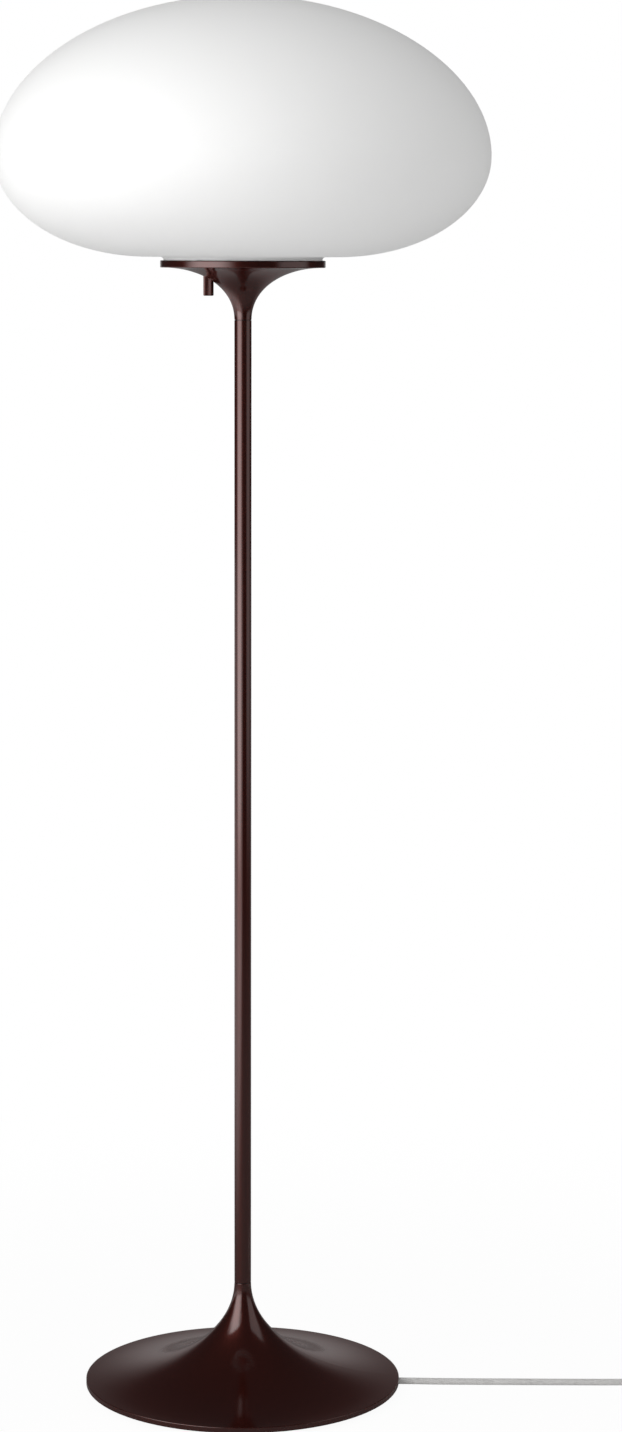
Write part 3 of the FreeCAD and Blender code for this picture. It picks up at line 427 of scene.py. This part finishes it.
def cord_route(cord):
    """Control points of the cord's line: out of the foot, along the floor, round the coil, to the plug."""
    laid = cord.diameter / 2
    gland = 0.0104
    second_layer = 0.0101
    plug = 0.0069
    run = [
        (0.076, 0, gland),
        (0.088, 0, gland),
        (0.136, 0, laid),
        (0.17, -0.0014, laid),
        (0.2, -0.0035, laid),
        (0.36, -0.0076, laid),
        (0.39, -0.007, laid),
        (0.415, -0.001, laid),
        (0.4396, 0.002, laid),
    ]
    tail = [
        (0.496906, 0.059306, second_layer),
        (0.496906, 0.075306, second_layer),
        (0.499906, 0.103306, plug),
        (0.499906, 0.119306, plug),
    ]
    return [Vector(point) for point in run + coil_route(cord, laid) + tail]


def coil_route(cord, laid):
    """The put-away length: turns that wind in on the floor and out again one layer up."""
    centre = (0.446, 0.052906)
    outer = 0.050906
    middle = cord.coil_turns / 2
    swell = 1 / math.cos(math.pi / cord.points_per_turn)
    points = []
    for k in range(round(cord.coil_turns * cord.points_per_turn)):
        turn = (k + 0.5) / cord.points_per_turn
        radius = (outer - cord.coil_step * (middle - abs(turn - middle))) * swell
        climb = min(max((turn - middle) / 0.5 + 0.5, 0), 1)
        angle = math.tau * (turn - 0.25)
        points.append((
            centre[0] + radius * math.cos(angle),
            centre[1] + radius * math.sin(angle),
            laid + cord.coil_step * climb * climb * (3 - 2 * climb),
        ))
    return points


def smooth_line(name, points, steps):
    """Points along the smooth curve that has the given control points."""
    curve = bpy.data.curves.new(name, "CURVE")
    curve.dimensions = "3D"
    curve.resolution_u = steps
    spline = curve.splines.new("NURBS")
    spline.points.add(len(points) - 1)
    for knot, point in zip(spline.points, points):
        knot.co = (*point, 1)
    spline.order_u = 3
    spline.use_endpoint_u = True
    holder = bpy.data.objects.new(name, curve)
    mesh = bpy.data.meshes.new_from_object(holder)
    line = [vertex.co.copy() for vertex in mesh.vertices]
    bpy.data.objects.remove(holder)
    bpy.data.curves.remove(curve)
    bpy.data.meshes.remove(mesh)
    return line


def sweep_tube(name, line, radius, sides):
    """A closed tube along the line. Its UV chart has metres along the cord and one turn around it."""
    ends = line[:1] + line + line[-1:]
    tangents = [(after - before).normalized() for before, after in zip(ends, ends[2:])]
    side = tangents[0].orthogonal().normalized()
    verts = []
    travelled = [0.0]
    for k, (point, tangent) in enumerate(zip(line, tangents)):
        side = (side - tangent * side.dot(tangent)).normalized()
        up = tangent.cross(side)
        for s in range(sides):
            angle = math.tau * s / sides
            verts.append(point + radius * (math.cos(angle) * side + math.sin(angle) * up))
        if k:
            travelled.append(travelled[-1] + (point - line[k - 1]).length)
    faces = []
    chart = []
    for k in range(len(line) - 1):
        for s in range(sides):
            after = (s + 1) % sides
            ring, next_ring = k * sides, (k + 1) * sides
            faces.append((ring + s, ring + after, next_ring + after, next_ring + s))
            near, far = travelled[k], travelled[k + 1]
            low, high = s / sides, (s + 1) / sides
            chart += [(near, low), (near, high), (far, high), (far, low)]
    last = (len(line) - 1) * sides
    for cap in (tuple(reversed(range(sides))), tuple(range(last, last + sides))):
        faces.append(cap)
        chart += [(0.0, 0.0)] * sides
    mesh = bpy.data.meshes.new(name)
    mesh.from_pydata(verts, [], faces)
    layer = mesh.uv_layers.new(name="chart")
    layer.data.foreach_set("uv", [part for corner in chart for part in corner])
    mesh.polygons.foreach_set("use_smooth", [True] * len(faces))
    mesh.update()
    return add_piece(name, mesh)


def add_piece(name, data):
    """An object of the scene that holds the data."""
    piece = bpy.data.objects.new(name, data)
    bpy.context.scene.collection.objects.link(piece)
    return piece


# ---------------------------------------------------------------- the studio

def softbox(name, azimuth, distance, height, size, radiance, side_fade, end_fade):
    """A softbox that faces the lamp and fades at its edges.

    Azimuth 0 is the camera's side, and more is to the right.
    """
    width, tall = size
    light = bpy.data.lights.new(name, "AREA")
    light.shape = "RECTANGLE"
    light.size = width
    light.size_y = tall
    light.energy = radiance * width * tall * math.pi
    light.use_nodes = True
    finish = Finish(light.node_tree)
    place = finish.node("SeparateXYZ", None, {0: finish.node("NewGeometry").output("Parametric")})
    across = 1.0 - abs(place.output("X") * 2.0 - 1.0)
    up = 1.0 - abs(place.output("Y") * 2.0 - 1.0)
    glow = finish.ease(across, 0.0, side_fade) * finish.ease(up, 0.0, end_fade)
    shader = finish.node("Emission", None, {"Color": WHITE, "Strength": glow})
    finish.node("OutputLight", None, {"Surface": shader})
    box = add_piece(name, light)
    box.location = (distance * math.sin(azimuth), -distance * math.cos(azimuth), height)
    aim = Vector((0, 0, min(height, AIM_TOP))) - box.location
    box.rotation_euler = aim.to_track_quat("-Z", "Y").to_euler()
    box.visible_camera = False
    return box


def light_world(studio):
    """White to the camera, dim all round to matt surfaces, and a card behind the lamp to glossy ones."""
    world = bpy.data.worlds.new("studio")
    bpy.context.scene.world = world
    world.use_nodes = True
    finish = Finish(world.node_tree)
    path = finish.node("LightPath")
    way = finish.node("SeparateXYZ", None, {0: finish.node("TexCoord").output("Generated")})
    azimuth = abs(way.math("ARCTAN2", way.output("X"), way.output("Y")))
    blur = 0.1
    card = finish.ease(azimuth, studio.card_edge + blur, studio.card_edge - blur)
    low = finish.ease(way.output("Z"), 0.45, 0.1)
    mirrored = path.math("MAXIMUM", path.output("Is Glossy Ray"), path.output("Is Transmission Ray"))
    seen = card * low * studio.card + studio.room
    around = mirrored * seen + (1.0 - mirrored) * studio.ambient
    camera = path.output("Is Camera Ray")
    strength = camera + (1.0 - camera) * around
    shader = finish.node("Background", None, {"Color": WHITE, "Strength": strength})
    finish.node("OutputWorld", None, {"Surface": shader})


def floor_mirrored(finish, studio, far):
    """The floor that glossy surfaces see: lit towards the key softbox, grey behind, dim far in front."""
    near = finish.ease(far, 3.0, 1.0)
    front = finish.tone(near, scaled(WHITE, 0.03), scaled(WHITE, studio.floor_mirrored))
    behind = finish.ease(finish.along((0.0, 1.0, 0.0)), 0.3, 1.5)
    toward_key = finish.ease(finish.along((-1.0, -0.15, 0.0)), 0.4, 1.2)
    unlit = finish.tone(behind, front, scaled(WHITE, 0.34))
    return finish.tone(toward_key, unlit, scaled(WHITE, 0.9))


def floor_paper(finish, studio):
    """Paper that shows nearly white, keeps the lamp's shadow, and is clear when seen from below."""
    path = finish.node("LightPath")
    seen = path.math("MAXIMUM", path.output("Is Camera Ray"), path.output("Is Transmission Ray"))
    far = finish.node("VectorMath", {"operation": "LENGTH"}, {0: finish.place()})
    share = studio.floor_white + (1.0 - studio.floor_white) * finish.ease(far, 0.25, 1.1)
    mirrored = floor_mirrored(finish, studio, far)
    colour = finish.tone(path.output("Is Glossy Ray"), scaled(WHITE, studio.floor_lightness), mirrored)
    paper = finish.node("BsdfDiffuse", None, {"Color": colour})
    white = finish.node("Emission", None, {"Color": WHITE, "Strength": 1.0})
    above = finish.node("MixShader", None, {0: seen * share, 1: paper, 2: white})
    clear = finish.node("BsdfTransparent")
    below = finish.node("NewGeometry").output("Backfacing")
    either = finish.node("MixShader", None, {0: below, 1: above, 2: clear})
    finish.node("OutputMaterial", None, {"Surface": either})


def light_floor(studio):
    """A round pale floor, just under the lamp's pad."""
    sides = 96
    turns = [math.tau * s / sides for s in range(sides)]
    radius = studio.floor_radius
    verts = [(radius * math.cos(turn), radius * math.sin(turn), -studio.floor_gap) for turn in turns]
    mesh = bpy.data.meshes.new("floor")
    mesh.from_pydata(verts, [], [tuple(range(sides))])
    floor = add_piece("floor", mesh)
    material = bpy.data.materials.new("floor_paper")
    material.use_nodes = True
    floor_paper(Finish(material.node_tree), studio)
    mesh.materials.append(material)


# ---------------------------------------------------------------- sizes and colours

def length(name, description, default):
    """A size in metres."""
    return FloatProperty(
        name=name, description=description, default=default, min=0, unit="LENGTH", subtype="DISTANCE"
    )


def number(name, description, default):
    """A plain number."""
    return FloatProperty(name=name, description=description, default=default)


def count(name, description, default, low):
    """A whole number with a lowest value."""
    return IntProperty(name=name, description=description, default=default, min=low)


def angle(name, description, default):
    """An angle, whose default is given in degrees."""
    return FloatProperty(name=name, description=description, default=math.radians(default), subtype="ANGLE")


def colour(name, description, default):
    """A linear colour."""
    return FloatVectorProperty(
        name=name, description=description, default=(*default, 1.0), size=4, min=0, max=1, subtype="COLOR"
    )


class LampColours(bpy.types.PropertyGroup):
    """Colours of the finishes that show most."""

    lacquer: colour("Lacquer", "Pigment of the stand's lacquer", (0.08, 0.0125, 0.008))
    opal: colour("Opal glass", "Body colour of the shade", (0.93, 0.93, 0.925))
    cord: colour("Cord yarn", "Light side of the cord's yarn", (0.88, 0.87, 0.86))
    # Painted shade: the darker colour that the braid's gaps and low yarn edges take.
    painted_gap_shade: colour("Cord gaps", "Shade between the cord's yarns", (0.42, 0.41, 0.4))
    plug: colour("Plug", "Moulded plug and its strain relief", (0.3, 0.3, 0.3))


class LampCord(bpy.types.PropertyGroup):
    """Sizes of the cord."""

    diameter: length("Diameter", "Outside of the woven sleeve", 0.0064)
    coil_step: length("Coil step", "From one turn to the next, beside and above it", 0.0069)
    coil_turns: FloatProperty(
        name="Coil turns", description="Turns of the put-away length", default=7.25, min=1
    )
    points_per_turn: count("Points a turn", "Control points in a turn of the coil", 16, 12)
    sides: count("Sides", "Faces around the cord", 24, 8)
    yarns: count("Yarns", "Yarns that wind one way round the cord", 14, 4)
    braid_pitch: length("Braid pitch", "Length of cord on which a yarn moves one yarn round", 0.0018)


class LampStudio(bpy.types.PropertyGroup):
    """Camera, lights and floor."""

    camera_back: length("Camera distance", "From the lamp's axis to the lens", 3.29267)
    camera_height: length("Camera height", "From the floor to the lens", 1.11649)
    camera_down: angle("Camera tilt", "How far the lens looks down", 7.724)
    camera_turn: angle("Camera turn", "How far the lens looks to the right", 1.1467)
    camera_roll: angle("Camera roll", "Turn about the line of sight", 0.168)
    lens: number("Lens", "Focal length in millimetres on a 36 mm sensor", 86.35)
    ambient: number("Ambient", "Strength of the even light on matt surfaces", 0.47)
    room: number("Room", "Strength of the room that glossy surfaces mirror", 0.03)
    card: number("Card", "Strength of the card behind the lamp that glossy surfaces mirror", 0.27)
    card_edge: angle("Card edge", "Half the angle that the card takes up, seen from the lamp", 22)
    floor_radius: length("Floor radius", "Size of the round floor", 9.0)
    floor_gap: length("Floor gap", "How far the floor lies under the pad", 0.0001)
    floor_white: number("Floor white", "Share of the floor round the foot that shows as plain white", 0.95)
    floor_lightness: number("Floor lightness", "Lightness of the floor outside reflections", 0.93)
    floor_mirrored: number("Mirrored floor", "Lightness of the floor nearby in reflections", 0.2)


# ---------------------------------------------------------------- operators

class LAMP_OT_camera(bpy.types.Operator):
    """Stand the camera at the photograph's viewing angle"""

    bl_idname = "lamp.camera"
    bl_label = "Camera"

    def execute(self, context):
        studio = context.scene.lamp_studio
        down, turn = studio.camera_down, studio.camera_turn
        data = bpy.data.cameras.new("camera")
        data.lens = studio.lens
        data.clip_end = CAMERA_REACH
        camera = add_piece("camera", data)
        camera.location = (0, -studio.camera_back, studio.camera_height)
        level = math.cos(down)
        forward = Vector((math.sin(turn) * level, math.cos(turn) * level, -math.sin(down)))
        roll = Quaternion((0, 0, 1), studio.camera_roll)
        camera.rotation_mode = "QUATERNION"
        camera.rotation_quaternion = forward.to_track_quat("-Z", "Y") @ roll
        context.scene.camera = camera
        return {"FINISHED"}


class LAMP_OT_cord(bpy.types.Operator):
    """Lay the woven cord along the floor, with its spare length in a coil"""

    bl_idname = "lamp.cord"
    bl_label = "Cord"

    def execute(self, context):
        sizes = context.scene.lamp_cord
        steps = 12
        line = smooth_line("cord_line", cord_route(sizes), steps)
        cord = sweep_tube("woven_cord", line, sizes.diameter / 2, sizes.sides)
        cord.data.materials.append(finish_named("cord_fabric"))
        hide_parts("cord_run", "cord_coil", "cord_tail")
        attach(cord, STAND)
        return {"FINISHED"}


class LAMP_OT_plug(bpy.types.Operator):
    """Finish the plug, its pins and its strain relief"""

    bl_idname = "lamp.plug"
    bl_label = "Plug"

    def execute(self, context):
        dress("plug_relief", "plug_body", "plug_pins", "plug_pin_sleeves")
        return {"FINISHED"}


class LAMP_OT_base(bpy.types.Operator):
    """Finish the base: cover, ballast, closing plate and what holds the cord"""

    bl_idname = "lamp.base"
    bl_label = "Base"

    def execute(self, context):
        dress("base_cover", "base_weight", "base_plate", "base_plate_screws", "base_pad", "base_nipple")
        dress("base_washer", "base_nut", "cord_bushing", "cord_clamp", "cord_clamp_screws")
        return {"FINISHED"}


class LAMP_OT_stem(bpy.types.Operator):
    """Finish the stem tube and its couplings"""

    bl_idname = "lamp.stem"
    bl_label = "Stem"

    def execute(self, context):
        dress("lower_coupling", "stem_tube", "upper_coupling", "upper_nipple")
        return {"FINISHED"}


class LAMP_OT_gallery(bpy.types.Operator):
    """Finish the gallery that carries the glass"""

    bl_idname = "lamp.gallery"
    bl_label = "Gallery"

    def execute(self, context):
        dress("gallery_body", "gallery_tray", "gallery_washer", "gallery_nut", "glass_cushion")
        return {"FINISHED"}


class LAMP_OT_shade(bpy.types.Operator):
    """Finish the opal glass shade"""

    bl_idname = "lamp.shade"
    bl_label = "Shade"

    def execute(self, context):
        dress("shade_glass")
        return {"FINISHED"}


class LAMP_OT_dimmer(bpy.types.Operator):
    """Finish the dimmer and its knob"""

    bl_idname = "lamp.dimmer"
    bl_label = "Dimmer"

    def execute(self, context):
        dress("dimmer_case", "dimmer_lid", "dimmer_board", "dimmer_bushing", "dimmer_washer", "dimmer_nut")
        dress("dimmer_shaft", "knob")
        return {"FINISHED"}


class LAMP_OT_holder(bpy.types.Operator):
    """Finish the lampholder and the wiring"""

    bl_idname = "lamp.holder"
    bl_label = "Lampholder"

    def execute(self, context):
        dress("holder_base", "holder_nut", "holder_insert", "holder_skirt", "thread_shell", "centre_contact")
        dress("terminal_screws", "inner_lead", "core_wires")
        return {"FINISHED"}


class LAMP_OT_bulb(bpy.types.Operator):
    """Finish the bulb"""

    bl_idname = "lamp.bulb"
    bl_label = "Bulb"

    def execute(self, context):
        dress("bulb_glass", "bulb_cap", "bulb_insulator", "bulb_contact", "bulb_stem", "bulb_filaments")
        return {"FINISHED"}


class LAMP_OT_stage(bpy.types.Operator):
    """Light the lamp in a plain white studio"""

    bl_idname = "lamp.stage"
    bl_label = "Studio"

    def execute(self, context):
        studio = context.scene.lamp_studio
        light_world(studio)
        light_floor(studio)
        softbox(
            "key_softbox", azimuth=math.radians(-49), distance=2.4, height=1.65, size=(4.3, 3.3),
            radiance=2.12, side_fade=0.8, end_fade=0.15,
        )
        softbox(
            "side_softbox", azimuth=math.radians(75), distance=2.4, height=1.65, size=(2.9, 3.3),
            radiance=0.47, side_fade=0.5, end_fade=0.25,
        )
        top = softbox(
            "top_softbox", azimuth=math.radians(-20), distance=0.8, height=2.9, size=(1.8, 1.8),
            radiance=0.5, side_fade=0.5, end_fade=0.5,
        )
        top.visible_glossy = False
        context.scene.view_settings.view_transform = "Standard"
        return {"FINISHED"}


OPERATORS = (
    LAMP_OT_camera, LAMP_OT_cord, LAMP_OT_plug, LAMP_OT_base, LAMP_OT_stem, LAMP_OT_gallery,
    LAMP_OT_shade, LAMP_OT_dimmer, LAMP_OT_holder, LAMP_OT_bulb, LAMP_OT_stage,
)


class LAMP_PT_panel(bpy.types.Panel):
    """Everything that finishes the lamp"""

    bl_idname = "LAMP_PT_panel"
    bl_label = "Mushroom floor lamp"
    bl_space_type = "VIEW_3D"
    bl_region_type = "UI"
    bl_category = "Lamp"

    def draw(self, context):
        for operator in OPERATORS:
            self.layout.operator(operator.bl_idname)
        for group in (context.scene.lamp_colours, context.scene.lamp_cord, context.scene.lamp_studio):
            box = self.layout.box()
            for name in group.__annotations__:
                box.prop(group, name)


GROUPS = {"lamp_colours": LampColours, "lamp_cord": LampCord, "lamp_studio": LampStudio}


def register():
    for name, group in GROUPS.items():
        bpy.utils.register_class(group)
        setattr(bpy.types.Scene, name, PointerProperty(type=group))
    for entry in (*OPERATORS, LAMP_PT_panel):
        bpy.utils.register_class(entry)


def unregister():
    for entry in (LAMP_PT_panel, *reversed(OPERATORS)):
        bpy.utils.unregister_class(entry)
    for name, group in GROUPS.items():
        delattr(bpy.types.Scene, name)
        bpy.utils.unregister_class(group)


def main():
    register()
    for operator in OPERATORS:
        getattr(bpy.ops.lamp, operator.bl_idname.split(".")[1])()


if __name__ == "__main__":
    main()
